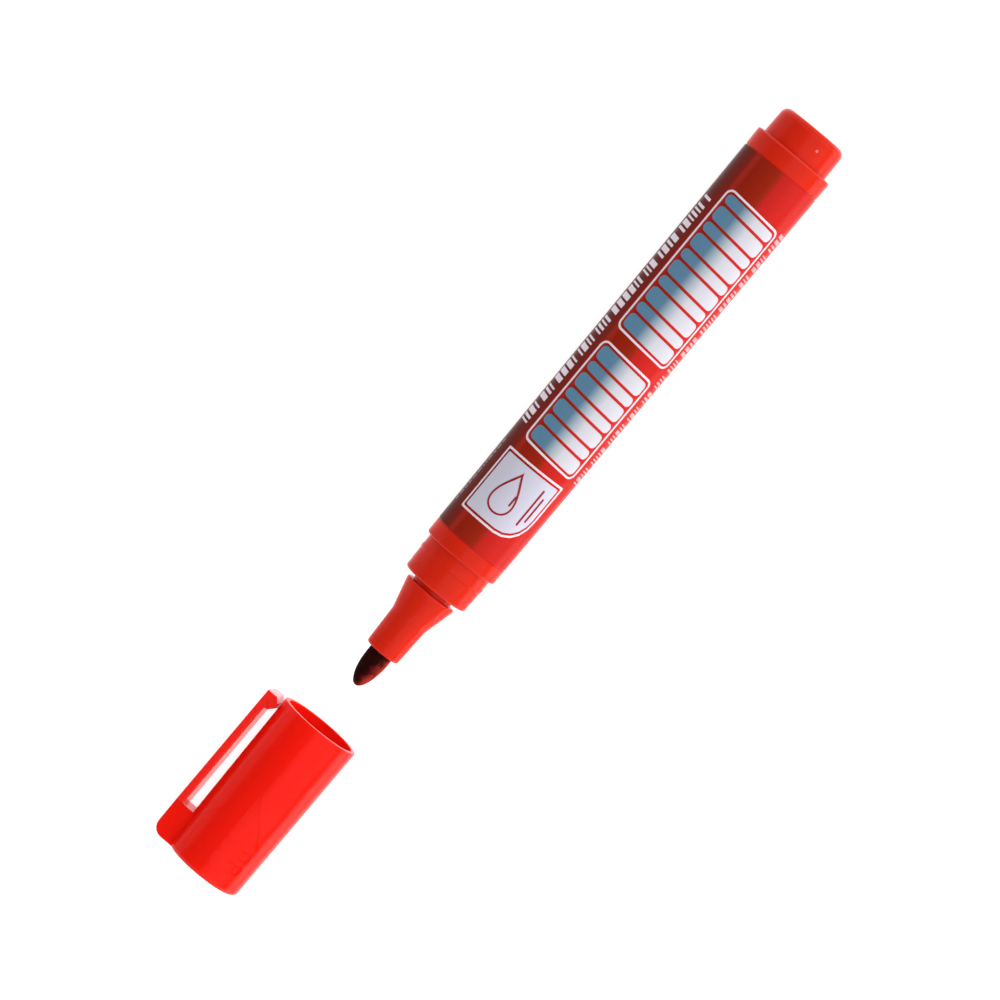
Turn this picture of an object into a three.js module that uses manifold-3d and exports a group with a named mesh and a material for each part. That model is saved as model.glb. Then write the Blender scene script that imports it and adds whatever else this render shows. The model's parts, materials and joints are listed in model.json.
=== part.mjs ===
// A felt-tip marker, uncapped: a tapered barrel with a printed band, a rear plug, a nose cone
// with a bullet nib, the ink reservoir inside, and the cap with its clip pulled off in line.
//
// The pen lies on its side along +X with +Z up. The origin is the centre of the rear plug's
// flat end face, on the pen's axis. Lengths are in millimetres.

import * as THREE from 'three';
import { mergeVertices } from 'three/addons/utils/BufferGeometryUtils.js';
import Module from 'manifold-3d';

const wasm = await Module();
wasm.setup();

// ---------------------------------------------------------------- driving dimensions

const GAP = 0.3; // running gap between two pieces that touch on the real pen

// Rear plug: the part outside the barrel, then the skirt inside it
const PLUG_END_RADIUS = 7.35;
const PLUG_RIM_RADIUS = 7.45;
const PLUG_EDGE_ROUNDING = 1.6;
const PLUG_PROUD = 6.4;
const PLUG_SKIRT_RADIUS = 7.1;
const PLUG_SKIRT_LENGTH = 8;
const PLUG_WALL = 1.2;
const PLUG_FLOOR = 1.6;
const PLUG_BOSS_RADIUS = 2.4;

// Barrel: a moulded tube, widest at the rear rim, with a stepped collar at its front
const BARREL_LENGTH = 100.5;
const BARREL_REAR_RADIUS = 8.75;
const BARREL_FLARE_RADIUS = 8.68;
const BARREL_FLARE_LENGTH = 3;
const BARREL_FRONT_RADIUS = 8.2;
const BARREL_EDGE_ROUNDING = 0.4;
const BORE_REAR_RADIUS = 7.4;
const BORE_FRONT_RADIUS = 7.1;
const PLUG_SEAT_LENGTH = 2.2;

// Collar: the neck that the cap snaps onto
const COLLAR_LENGTH = 7.75;
const COLLAR_RADIUS = 7.35;
const COLLAR_NECK_RADIUS = 7.27;
const COLLAR_LIP_RADIUS = 7.22;
const COLLAR_BEAD_RADIUS = 7.43;
const COLLAR_BEAD_START = 2.3;
const COLLAR_BEAD_WIDTH = 0.5;
const COLLAR_EDGE_ROUNDING = 0.5;
const COLLAR_BORE_RADIUS = 6;
const COLLAR_FRONT_WALL = 1.5;

// Printed band, set into the barrel so that its face is flush
const LABEL_REAR_MARGIN = 3.9;
const LABEL_FRONT_MARGIN = 3.3;
const LABEL_THICKNESS = 0.2;
const LABEL_RECESS = 0.4;

// Nose cone: a spigot through the collar's front wall, a cone and a slim tube
const SPIGOT_RADIUS = 4;
const SPIGOT_LENGTH = 8.4;
const NOSE_GROOVE = 1.05;
const CONE_BASE_RADIUS = 5.7;
const CONE_END_RADIUS = 4;
const CONE_LENGTH = 7.2;
const NOSE_MOUTH_RADIUS = 3.72;
const NOSE_TUBE_LENGTH = 7.9;
const NOSE_MOUTH_ROUNDING = 0.6;

// Nib: a fibre rod with a bullet-shaped point, half an ellipse in section
const NIB_RADIUS = 2.55;
const NIB_PROUD = 8.15;
const NIB_POINT_LENGTH = 7;
const NIB_LENGTH = 44;
const NIB_IN_RESERVOIR = 8;

// Ink reservoir: a fibre rod in a rolled film
const RESERVOIR_RADIUS = 6;
const WRAP_THICKNESS = 0.2;
const WRAP_OVERHANG = 0.5;

// Cap: a snap-on cup, with the inner cup that seals the nose
const CAP_LENGTH = 36.5;
const CAP_MOUTH_RADIUS = 8.63;
const CAP_END_RADIUS = 8.35;
const CAP_MOUTH_BORE = 7.6;
const CAP_THROAT_BORE = 7.5;
const CAP_END_BORE = 7.3;
const CAP_THROAT_DEPTH = 8;
const CAP_FLOOR = 1.2;
const CAP_MOUTH_ROUNDING = 0.35;
const CAP_END_ROUNDING = 1;
const LINER_DEPTH = 8.7;
const LINER_MOUTH_BORE = 6.05;
const LINER_END_BORE = 4.9;
const LINER_FLOOR = 1;

// Clip: a flat bar beside the cap, joined to it at the closed end, leaning in to its free end
const CLIP_FACE = 12.2; // from the axis to the clip's flat outer face, at the root
const CLIP_LEAN = 0.25; // how much nearer the axis that face is at the free end
const CLIP_THICKNESS = 1.6;
const CLIP_WIDTH = 7.6;
const CLIP_ROOT_LENGTH = 8;
const CLIP_ROOT_ROUNDING = 2.2;
const CLIP_ROOT_DEPTH = 6.5; // how near the axis the root starts, before the bore is cut
const CLIP_TIP_SETBACK = 0.6;
const CLIP_TIP_ROUNDING = 0.4;

// Hook under the clip's free end: a wedge with a flat toe, measured from the free end
const HOOK_TIP_THICKNESS = 2.25;
const HOOK_TOE_START = 1.15;
const HOOK_TOE_END = 2.3;
const HOOK_HEEL = 3.35;

// The cap lies off the pen, in line with it
const CAP_PULLED_OFF = 42.5; // from the barrel's shoulder to the cap's mouth

// Facets round a turned piece, and along a rounded edge
const SIDES = 48;
const INNER_SIDES = 24;
const ARC_STEPS = 3;

// ---------------------------------------------------------------- derived places

const REAR_RIM_X = PLUG_PROUD;
const SHOULDER_X = REAR_RIM_X + BARREL_LENGTH;
const COLLAR_END_X = SHOULDER_X + COLLAR_LENGTH;
const CONE_BASE_X = COLLAR_END_X + NOSE_GROOVE;
const CONE_END_X = CONE_BASE_X + CONE_LENGTH;
const NOSE_MOUTH_X = CONE_END_X + NOSE_TUBE_LENGTH;
const NIB_TIP_X = NOSE_MOUTH_X + NIB_PROUD;
const NIB_REAR_X = NIB_TIP_X - NIB_LENGTH;
const LABEL_START_X = REAR_RIM_X + LABEL_REAR_MARGIN;
const LABEL_END_X = SHOULDER_X - LABEL_FRONT_MARGIN;
const PLUG_INNER_X = REAR_RIM_X + PLUG_SKIRT_LENGTH;
const RESERVOIR_START_X = PLUG_INNER_X + GAP;
const RESERVOIR_END_X = NIB_REAR_X + NIB_IN_RESERVOIR;
const CAP_MOUTH_X = SHOULDER_X + CAP_PULLED_OFF;
const CAP_END_X = CAP_MOUTH_X + CAP_LENGTH;
const CAP_FLOOR_X = CAP_END_X - CAP_FLOOR;
const CLIP_ROOT_X = CAP_END_X - CLIP_ROOT_LENGTH;

// The cap lies on the lower edge of its clip, level with the underside of the barrel.
const clipEdgeRadius = Math.hypot(CLIP_FACE, CLIP_WIDTH / 2);
const clipEdgeAngle = Math.atan2(CLIP_WIDTH / 2, CLIP_FACE);
const clipDroop = Math.asin(BARREL_REAR_RADIUS / clipEdgeRadius) - clipEdgeAngle;
const CLIP_TURN = Math.PI / 2 + clipDroop; // turn about +X from straight up to the clip

/** Outer radius of the barrel's straight taper at station x. */
function barrelRadius(x) {
  const taperStart = REAR_RIM_X + BARREL_FLARE_LENGTH;
  const share = (x - taperStart) / (SHOULDER_X - taperStart);
  return THREE.MathUtils.lerp(BARREL_FLARE_RADIUS, BARREL_FRONT_RADIUS, share);
}

// ---------------------------------------------------------------- shape helpers

/** A rounded edge of a turned profile: points [radius, x] round a centre, 0 degrees outwards. */
function arc(radius, x, rounding, fromDegrees, toDegrees) {
  const points = [];
  for (let step = 0; step <= ARC_STEPS; step += 1) {
    const degrees = THREE.MathUtils.lerp(fromDegrees, toDegrees, step / ARC_STEPS);
    const angle = THREE.MathUtils.degToRad(degrees);
    points.push([radius + rounding * Math.cos(angle), x + rounding * Math.sin(angle)]);
  }
  return points;
}

/** A piece turned about the pen's axis, from a profile of [radius, x] points. */
function turned(profile, sides = SIDES) {
  const points = profile.map(([radius, x]) => new THREE.Vector2(radius, x));
  const geometry = new THREE.LatheGeometry(points, sides);
  geometry.rotateY(Math.PI / sides);
  geometry.rotateZ(-Math.PI / 2);
  return geometry;
}

/** A closed ring profile: the last point meets the first. */
function ring(points) {
  return [...points, points[0]];
}

/** A bar beside the cap: an outline in (x, height over the axis), as wide as the clip. */
function besideCap(outline) {
  const geometry = new THREE.ExtrudeGeometry(outline, {
    depth: CLIP_WIDTH,
    bevelEnabled: false,
    curveSegments: ARC_STEPS,
  });
  geometry.translate(0, 0, -CLIP_WIDTH / 2);
  geometry.rotateX(Math.PI / 2 + CLIP_TURN);
  return geometry;
}

/** A three.js geometry as a solid for joining and cutting. */
function solidOf(geometry) {
  const bare = geometry.clone();
  bare.deleteAttribute('normal');
  bare.deleteAttribute('uv');
  const merged = mergeVertices(bare);
  const mesh = new wasm.Mesh({
    numProp: 3,
    vertProperties: new Float32Array(merged.attributes.position.array),
    triVerts: new Uint32Array(merged.index.array),
  });
  mesh.merge();
  return new wasm.Manifold(mesh);
}

/** A joined or cut solid as a three.js geometry. */
function geometryOf(solid) {
  const { vertProperties, triVerts } = solid.getMesh();
  const geometry = new THREE.BufferGeometry();
  geometry.setAttribute('position', new THREE.BufferAttribute(vertProperties, 3));
  geometry.setIndex(new THREE.BufferAttribute(triVerts, 1));
  geometry.computeVertexNormals();
  return geometry;
}

/** One named piece with its own material. */
function piece(name, geometry, color, roughness) {
  const material = new THREE.MeshStandardMaterial({ color, roughness, metalness: 0 });
  const mesh = new THREE.Mesh(geometry, material);
  mesh.name = name;
  return mesh;
}

// ---------------------------------------------------------------- the pen

/** The rear plug: a cup with a boss inside that backs the reservoir. */
function endPlug() {
  const skirtStart = REAR_RIM_X + PLUG_SEAT_LENGTH - GAP;
  const skirtBore = PLUG_SKIRT_RADIUS - PLUG_WALL;
  return turned([
    [0, 0],
    ...arc(PLUG_END_RADIUS - PLUG_EDGE_ROUNDING, PLUG_EDGE_ROUNDING, PLUG_EDGE_ROUNDING, -90, 0),
    [PLUG_RIM_RADIUS, REAR_RIM_X],
    [PLUG_RIM_RADIUS, skirtStart],
    [PLUG_SKIRT_RADIUS, skirtStart],
    [PLUG_SKIRT_RADIUS, PLUG_INNER_X],
    [skirtBore, PLUG_INNER_X],
    [skirtBore, PLUG_FLOOR],
    [PLUG_BOSS_RADIUS, PLUG_FLOOR],
    [PLUG_BOSS_RADIUS, PLUG_INNER_X],
    [0, PLUG_INNER_X],
  ]);
}

/** The barrel with its collar: one moulded tube, open at the rear. */
function barrel() {
  const edge = BARREL_EDGE_ROUNDING;
  const beadStart = SHOULDER_X + COLLAR_BEAD_START;
  const beadEnd = beadStart + COLLAR_BEAD_WIDTH;
  const beadSlope = COLLAR_BEAD_WIDTH / 2;
  const lip = COLLAR_EDGE_ROUNDING;
  const spigotHole = SPIGOT_RADIUS + GAP;
  const frontWallX = COLLAR_END_X - COLLAR_FRONT_WALL;
  const seatRadius = PLUG_RIM_RADIUS + GAP;
  const seatEnd = REAR_RIM_X + PLUG_SEAT_LENGTH;
  const neckStart = SHOULDER_X - COLLAR_FRONT_WALL;
  const boreEnd = neckStart - COLLAR_FRONT_WALL;
  return turned(ring([
    [seatRadius, REAR_RIM_X],
    ...arc(BARREL_REAR_RADIUS - edge, REAR_RIM_X + edge, edge, -90, 0),
    [BARREL_FLARE_RADIUS, REAR_RIM_X + BARREL_FLARE_LENGTH],
    [barrelRadius(LABEL_START_X), LABEL_START_X],
    [barrelRadius(LABEL_START_X) - LABEL_RECESS, LABEL_START_X],
    [barrelRadius(LABEL_END_X) - LABEL_RECESS, LABEL_END_X],
    [barrelRadius(LABEL_END_X), LABEL_END_X],
    ...arc(BARREL_FRONT_RADIUS - edge, SHOULDER_X - edge, edge, 0, 90),
    [COLLAR_RADIUS, SHOULDER_X],
    [COLLAR_RADIUS, beadStart - beadSlope],
    [COLLAR_BEAD_RADIUS, beadStart],
    [COLLAR_BEAD_RADIUS, beadEnd],
    [COLLAR_NECK_RADIUS, beadEnd + beadSlope],
    ...arc(COLLAR_LIP_RADIUS - lip, COLLAR_END_X - lip, lip, 0, 90),
    [spigotHole, COLLAR_END_X],
    [spigotHole, frontWallX],
    [COLLAR_BORE_RADIUS, frontWallX],
    [COLLAR_BORE_RADIUS, neckStart],
    [BORE_FRONT_RADIUS, boreEnd],
    [BORE_REAR_RADIUS, seatEnd],
    [seatRadius, seatEnd],
  ]));
}

/** The printed band round the barrel. */
function labelFilm() {
  const start = LABEL_START_X + GAP;
  const end = LABEL_END_X - GAP;
  return turned(ring([
    [barrelRadius(start) - LABEL_THICKNESS, start],
    [barrelRadius(start), start],
    [barrelRadius(end), end],
    [barrelRadius(end) - LABEL_THICKNESS, end],
  ]));
}

/** The nose cone: spigot, groove, cone and nib tube in one turned piece. */
function noseCone() {
  const bore = NIB_RADIUS + GAP;
  const spigotStart = COLLAR_END_X - SPIGOT_LENGTH;
  const rounding = NOSE_MOUTH_ROUNDING;
  return turned(ring([
    [bore, spigotStart],
    ...arc(SPIGOT_RADIUS - rounding, spigotStart + rounding, rounding, -90, 0),
    [SPIGOT_RADIUS, CONE_BASE_X],
    ...arc(CONE_BASE_RADIUS - GAP, CONE_BASE_X + GAP, GAP, -90, 0),
    [CONE_END_RADIUS + GAP, CONE_END_X - rounding * 2],
    [CONE_END_RADIUS, CONE_END_X],
    ...arc(NOSE_MOUTH_RADIUS - rounding, NOSE_MOUTH_X - rounding, rounding, 0, 90),
    [bore, NOSE_MOUTH_X],
  ]));
}

/** The nib: a straight fibre rod that ends in a bullet point. */
function nib() {
  const pointSteps = 10;
  const point = [];
  for (let step = 0; step <= pointSteps; step += 1) {
    const angle = (Math.PI / 2) * (1 - step / pointSteps);
    const fromTip = NIB_POINT_LENGTH * (1 - Math.cos(angle));
    point.push([NIB_RADIUS * Math.sin(angle), NIB_TIP_X - fromTip]);
  }
  return turned([
    [0, NIB_REAR_X],
    [NIB_RADIUS, NIB_REAR_X],
    ...point,
  ], INNER_SIDES);
}

/** The fibre rod that holds the ink, with the hole that the nib is pushed into. */
function reservoirCore() {
  const nibHole = NIB_RADIUS + GAP;
  return turned([
    [0, RESERVOIR_START_X],
    [RESERVOIR_RADIUS, RESERVOIR_START_X],
    [RESERVOIR_RADIUS, RESERVOIR_END_X],
    [nibHole, RESERVOIR_END_X],
    [nibHole, NIB_REAR_X - GAP],
    [0, NIB_REAR_X - GAP],
  ], INNER_SIDES);
}

/** The film rolled round the fibre rod. */
function reservoirWrap() {
  const inner = RESERVOIR_RADIUS + GAP;
  const outer = inner + WRAP_THICKNESS;
  return turned(ring([
    [inner, RESERVOIR_START_X],
    [outer, RESERVOIR_START_X],
    [outer, RESERVOIR_END_X + WRAP_OVERHANG],
    [inner, RESERVOIR_END_X + WRAP_OVERHANG],
  ]));
}

// ---------------------------------------------------------------- the cap

/** The cap: a cup with the solid root of its clip. */
function capShell() {
  const outside = solidOf(turned([
    [0, CAP_MOUTH_X],
    ...arc(
      CAP_MOUTH_RADIUS - CAP_MOUTH_ROUNDING,
      CAP_MOUTH_X + CAP_MOUTH_ROUNDING,
      CAP_MOUTH_ROUNDING,
      -90,
      0,
    ),
    ...arc(CAP_END_RADIUS - CAP_END_ROUNDING, CAP_END_X - CAP_END_ROUNDING, CAP_END_ROUNDING, 0, 90),
    [0, CAP_END_X],
  ]));
  const cavity = solidOf(turned([
    [0, CAP_MOUTH_X - GAP],
    [CAP_MOUTH_BORE, CAP_MOUTH_X - GAP],
    [CAP_MOUTH_BORE, CAP_MOUTH_X],
    [CAP_THROAT_BORE, CAP_MOUTH_X + CAP_THROAT_DEPTH],
    [CAP_END_BORE, CAP_FLOOR_X],
    [0, CAP_FLOOR_X],
  ]));
  const outline = new THREE.Shape();
  outline.moveTo(CLIP_ROOT_X, CLIP_ROOT_DEPTH);
  outline.lineTo(CAP_END_X, CLIP_ROOT_DEPTH);
  outline.lineTo(CAP_END_X, CLIP_FACE - CLIP_ROOT_ROUNDING);
  outline.quadraticCurveTo(CAP_END_X, CLIP_FACE, CAP_END_X - CLIP_ROOT_ROUNDING, CLIP_FACE);
  outline.lineTo(CLIP_ROOT_X, CLIP_FACE);
  outline.closePath();
  const root = solidOf(besideCap(outline));
  return geometryOf(outside.add(root).subtract(cavity));
}

/** The clip: a flat bar with a wedge-shaped hook under its free end. */
function clip() {
  const tip = CAP_MOUTH_X + CLIP_TIP_SETBACK;
  const end = CLIP_ROOT_X - GAP;
  const heel = tip + HOOK_HEEL;
  const toe = CAP_MOUTH_RADIUS + GAP;
  const rounding = CLIP_TIP_ROUNDING;
  const face = (x) => THREE.MathUtils.mapLinear(x, end, tip, CLIP_FACE, CLIP_FACE - CLIP_LEAN);
  const outline = new THREE.Shape();
  outline.moveTo(tip, face(tip) - HOOK_TIP_THICKNESS);
  outline.lineTo(tip + HOOK_TOE_START, toe);
  outline.lineTo(tip + HOOK_TOE_END, toe);
  outline.lineTo(heel, face(heel) - HOOK_TIP_THICKNESS);
  outline.lineTo(heel, face(heel) - CLIP_THICKNESS);
  outline.lineTo(end, face(end) - CLIP_THICKNESS);
  outline.lineTo(end, CLIP_FACE);
  outline.lineTo(tip + rounding, face(tip + rounding));
  outline.quadraticCurveTo(tip, face(tip), tip, face(tip) - rounding);
  outline.closePath();
  return besideCap(outline);
}

/** The inner cup that closes round the nose when the cap is on. */
function capLiner() {
  const start = CAP_MOUTH_X + LINER_DEPTH;
  const end = CAP_FLOOR_X - GAP;
  const mouthRadius = CAP_THROAT_BORE - GAP;
  const endRadius = CAP_END_BORE - GAP;
  return turned([
    [0, end - LINER_FLOOR],
    [LINER_END_BORE, end - LINER_FLOOR],
    [LINER_MOUTH_BORE, start],
    [mouthRadius, start],
    [endRadius, end],
    [0, end],
  ]);
}

// ---------------------------------------------------------------- the assembly

const RED = 0xe6281a;
const CAP_RED = 0xee2a12;
const MAROON = 0x8c241c;
const NIB_MAROON = 0x7a1820;
const FIBRE_RED = 0xc02038;
const CLEAR_FILM = 0xdcd6d0;
const NATURAL = 0xe8e4dc;

const pen = new THREE.Group();
pen.add(
  piece('end_plug', endPlug(), RED, 0.42),
  piece('barrel', barrel(), RED, 0.38),
  piece('label_film', labelFilm(), MAROON, 0.34),
  piece('nose_cone', noseCone(), RED, 0.42),
  piece('nib', nib(), NIB_MAROON, 0.9),
  piece('reservoir_core', reservoirCore(), FIBRE_RED, 0.95),
  piece('reservoir_wrap', reservoirWrap(), CLEAR_FILM, 0.3),
);

const cap = new THREE.Group();
cap.add(
  piece('cap_shell', capShell(), CAP_RED, 0.4),
  piece('clip', clip(), CAP_RED, 0.4),
  piece('cap_liner', capLiner(), NATURAL, 0.45),
);

const marker = new THREE.Group();
marker.add(pen, cap);

export default marker;
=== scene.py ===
"""Looks of a felt-tip marker: bare red plastic, a glossy printed band, a fibre nib and the cap.

The pen lies along +X with its rear plug at the origin. Shapes are worked out in millimetres and
written to the meshes in metres. Round pieces are turned profiles of (x, radius) corners, each
with the radius of its rounding. Printed artwork is thin ink film wrapped round the barrel.
"""

import json
import math
import random

import bmesh
import bpy
from mathutils import Matrix, Vector, noise


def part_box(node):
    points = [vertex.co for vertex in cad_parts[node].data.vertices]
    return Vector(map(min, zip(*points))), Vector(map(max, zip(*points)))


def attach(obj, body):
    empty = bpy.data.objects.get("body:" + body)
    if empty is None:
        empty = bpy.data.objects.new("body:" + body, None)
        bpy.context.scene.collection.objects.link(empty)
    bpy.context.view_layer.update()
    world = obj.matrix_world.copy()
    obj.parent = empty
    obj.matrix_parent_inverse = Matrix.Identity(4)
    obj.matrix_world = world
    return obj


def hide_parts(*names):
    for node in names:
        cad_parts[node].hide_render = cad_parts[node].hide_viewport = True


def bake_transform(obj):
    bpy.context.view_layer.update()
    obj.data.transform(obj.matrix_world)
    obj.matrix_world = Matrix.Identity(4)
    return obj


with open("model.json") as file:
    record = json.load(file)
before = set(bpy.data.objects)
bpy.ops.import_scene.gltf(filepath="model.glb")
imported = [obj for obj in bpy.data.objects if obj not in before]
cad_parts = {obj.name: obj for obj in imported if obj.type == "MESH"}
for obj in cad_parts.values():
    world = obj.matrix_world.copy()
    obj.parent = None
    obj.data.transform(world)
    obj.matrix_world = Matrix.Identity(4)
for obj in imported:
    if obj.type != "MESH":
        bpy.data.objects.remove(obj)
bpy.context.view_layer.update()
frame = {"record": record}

MM = 0.001


def span(node):
    """Where a CAD node starts and ends along the pen, in millimetres."""
    low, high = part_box(node)
    return low.x / MM, high.x / MM


def reach(node):
    """The outer radius of a round CAD node, in millimetres."""
    low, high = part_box(node)
    return (high.y - low.y) / 2 / MM


# -------- places from the frame

BARREL_REAR, COLLAR_END = span("barrel")
LABEL_START, LABEL_END = span("label_film")
PLUG_END, PLUG_INNER = span("end_plug")
SPIGOT_START, NOSE_MOUTH = span("nose_cone")
NIB_REAR, NIB_TIP = span("nib")
RESERVOIR_START, RESERVOIR_END = span("reservoir_core")
WRAP_START, WRAP_END = span("reservoir_wrap")
CAP_MOUTH, CAP_END = span("cap_shell")
LINER_START, LINER_END = span("cap_liner")
CLIP_TIP, CLIP_ROOT = span("clip")

mounts = {mount["name"]: mount for mount in frame["record"]["mounts"]}
clip_point = Vector(mounts["clip_face"]["pos_m"])
clip_normal = Vector(mounts["clip_face"]["axis"])
ALONG = Vector((1, 0, 0))
CLIP_OUT = (clip_point - ALONG * clip_point.x).normalized()
CLIP_SIDE = ALONG.cross(CLIP_OUT)
CLIP_SLOPE = -clip_normal.x / clip_normal.dot(CLIP_OUT)


def clip_face(x):
    """Height of the clip's outer face over the pen's axis at station x."""
    return clip_point.dot(CLIP_OUT) / MM + CLIP_SLOPE * (x - clip_point.x / MM)


# -------- driving sizes, millimetres

PLUG_RADIUS = reach("end_plug")
BARREL_REAR_RADIUS = 8.74
BARREL_FLARE_RADIUS = 8.66
BARREL_FLARE_LENGTH = 3.0
BARREL_FRONT_RADIUS = 8.19
COLLAR_LENGTH = 7.75
COLLAR_RADIUS = 7.35
BARREL_SHOULDER = COLLAR_END - COLLAR_LENGTH
LABEL_GAP = 0.22  # between the end of the printed band and the edge of its recess
LABEL_RECESS = 0.16
FILM_LIFT = 0.03  # how far the printed band stands off the barrel
INK_LIFT = 0.02  # how far the ink stands off the band
CAP_MOUTH_RADIUS = 8.62
CAP_END_RADIUS = 8.34
CLIP_WIDTH = 7.6
CLIP_THICKNESS = 1.6
NIB_RADIUS = reach("nib")

SIDES = 192  # facets round a turned piece
FILLET_STEPS = 5
FILLET_ROOM = 0.48  # a rounding takes at most this share of the shorter side next to it
NEARLY_STRAIGHT = math.radians(88)  # half angle of a corner that needs no rounding
SUPPORT = 0.12  # a ring this near each end of a long stretch keeps its shading flat
ON_AXIS = 1e-6
BAR_ROUNDING = 0.35
BAR_SEGMENTS = 3
SAME_STATION = 1e-4
CAP_SIDES = 240
CAP_PITCH = 0.28  # rings along the cap this close carry the grip marks
SHARP_ANGLE = math.radians(38)
WEAR_START = math.radians(8)  # a convex edge that bends less than this shows no wear
WEAR_FULL = math.radians(18)

# Round the pen, angles run from -Y over the top (+Z) to +Y. The artwork faces the camera.
CAMERA_ELEVATION = math.radians(70.3)
ART_ANGLE = CAMERA_ELEVATION


def around(x, radius, angle):
    """A point on the pen's skin, in millimetres."""
    return Vector((x, -radius * math.cos(angle), radius * math.sin(angle)))


def barrel_radius(x):
    """Outer radius of the barrel's straight taper at station x."""
    start = BARREL_REAR + BARREL_FLARE_LENGTH
    share = (x - start) / (BARREL_SHOULDER - start)
    return BARREL_FLARE_RADIUS + share * (BARREL_FRONT_RADIUS - BARREL_FLARE_RADIUS)


def smoothstep(low, high, value):
    """0 below low, 1 above high, and an S-shaped rise between them."""
    share = min(max((value - low) / (high - low), 0.0), 1.0)
    return share * share * (3 - 2 * share)


# -------- mesh helpers


def fillet(before, corner, after, radius):
    """Points of the arc that rounds one corner of a flat outline."""
    corner = Vector(corner)
    to_before = Vector(before) - corner
    to_after = Vector(after) - corner
    room = FILLET_ROOM * min(to_before.length, to_after.length)
    u, v = to_before.normalized(), to_after.normalized()
    half = u.angle(v) / 2
    if half > NEARLY_STRAIGHT:
        return [corner]
    back = min(radius / math.tan(half), room)
    radius = back * math.tan(half)
    centre = corner + (u + v).normalized() * (radius / math.sin(half))
    start, end = corner + u * back - centre, corner + v * back - centre
    turn = start.angle_signed(end)
    points = []
    for step in range(FILLET_STEPS + 1):
        arm = start.copy()
        arm.rotate(Matrix.Rotation(-turn * step / FILLET_STEPS, 2))
        points.append(centre + arm)
    return points


def outline(corners, closed=True):
    """A flat outline from (a, b) or (a, b, rounding) corners."""
    points = []
    count = len(corners)
    for index, corner in enumerate(corners):
        rounding = corner[2] if len(corner) > 2 else 0
        at_end = not closed and index in (0, count - 1)
        if rounding and not at_end:
            before = corners[index - 1][:2]
            after = corners[(index + 1) % count][:2]
            points += fillet(before, corner[:2], after, rounding)
        else:
            points.append(Vector(corner[:2]))
    return points


def with_support(points, closed=True, pitch=None):
    """Adds rings near the ends of each long stretch, and along it every pitch."""
    result = []
    count = len(points)
    for index, point in enumerate(points):
        result.append(point)
        if index == count - 1 and not closed:
            break
        after = points[(index + 1) % count]
        length = (after - point).length
        if length < 4 * SUPPORT:
            continue
        stops = [SUPPORT]
        if pitch:
            pieces = max(1, round(length / pitch))
            stops += [length * step / pieces for step in range(1, pieces)]
        stops.append(length - SUPPORT)
        for stop in sorted(stops):
            result.append(point.lerp(after, stop / length))
    return result


def mark_edges(bm):
    """Writes how far each vertex sits on a convex edge, from 0 to 1, as edge_wear."""
    wear = bm.verts.layers.float.new("edge_wear")
    for vert in bm.verts:
        bend = max((edge.calc_face_angle_signed(0.0) for edge in vert.link_edges), default=0.0)
        vert[wear] = smoothstep(WEAR_START, WEAR_FULL, bend)


def add_object(name, data):
    """A new object in the scene."""
    made = bpy.data.objects.new(name, data)
    bpy.context.scene.collection.objects.link(made)
    return made


def add_mesh(name, bm):
    """A new mesh object, which uses a bmesh up."""
    mesh = bpy.data.meshes.new(name)
    bm.to_mesh(mesh)
    bm.free()
    return add_object(name, mesh)


def finish_mesh(name, bm):
    """A new object from a bmesh in millimetres, smooth with sharp edges."""
    bmesh.ops.scale(bm, vec=(MM, MM, MM), verts=bm.verts)
    mark_edges(bm)
    for face in bm.faces:
        face.smooth = True
    for edge in bm.edges:
        if len(edge.link_faces) == 2 and edge.calc_face_angle() > SHARP_ANGLE:
            edge.smooth = False
    return add_mesh(name, bm)


def turned_bmesh(corners, closed=True, pitch=None, sides=SIDES, shape=None):
    """Turns a profile of (x, radius, rounding) corners about the pen's axis.

    shape(x, radius, angle) may give a point of its own for a vertex.
    """
    profile = with_support(outline(corners, closed), closed, pitch)
    bm = bmesh.new()
    rings = []
    for x, radius in profile:
        if radius < ON_AXIS:
            rings.append([bm.verts.new((x, 0, 0))] * sides)
            continue
        ring = []
        for side in range(sides):
            angle = 2 * math.pi * side / sides
            place = shape(x, radius, angle) if shape else around(x, radius, angle)
            ring.append(bm.verts.new(place))
        rings.append(ring)
    pairs = list(zip(rings, rings[1:]))
    if closed:
        pairs.append((rings[-1], rings[0]))
    for lower, upper in pairs:
        for side in range(sides):
            after = (side + 1) % sides
            loop = [lower[side], upper[side], upper[after], lower[after]]
            distinct = list(dict.fromkeys(loop))
            if len(distinct) > 2:
                bm.faces.new(distinct)
    loose = [vert for vert in bm.verts if not vert.link_faces]
    bmesh.ops.delete(bm, geom=loose, context="VERTS")
    bmesh.ops.recalc_face_normals(bm, faces=bm.faces)
    return bm


def turned(name, corners, **options):
    """A turned piece as an object."""
    return finish_mesh(name, turned_bmesh(corners, **options))


def bar_bmesh(points, half_width, plain_end):
    """A flat outline in (x, height) pulled out to both sides, with its rims rounded.

    The edges at station plain_end stay sharp, because the bar goes on in another piece there.
    """
    bm = bmesh.new()
    near = [bm.verts.new((point.x, point.y, -half_width)) for point in points]
    far = [bm.verts.new((point.x, point.y, half_width)) for point in points]
    near_face = bm.faces.new(list(reversed(near)))
    far_face = bm.faces.new(far)
    count = len(points)
    for index in range(count):
        after = (index + 1) % count
        bm.faces.new([near[index], near[after], far[after], far[index]])
    bmesh.ops.recalc_face_normals(bm, faces=bm.faces)
    rims = []
    for edge in list(near_face.edges) + list(far_face.edges):
        if any(abs(vert.co.x - plain_end) > SAME_STATION for vert in edge.verts):
            rims.append(edge)
    bmesh.ops.bevel(
        bm, geom=rims, offset=BAR_ROUNDING, segments=BAR_SEGMENTS, profile=0.5, affect="EDGES"
    )
    return bm


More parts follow.
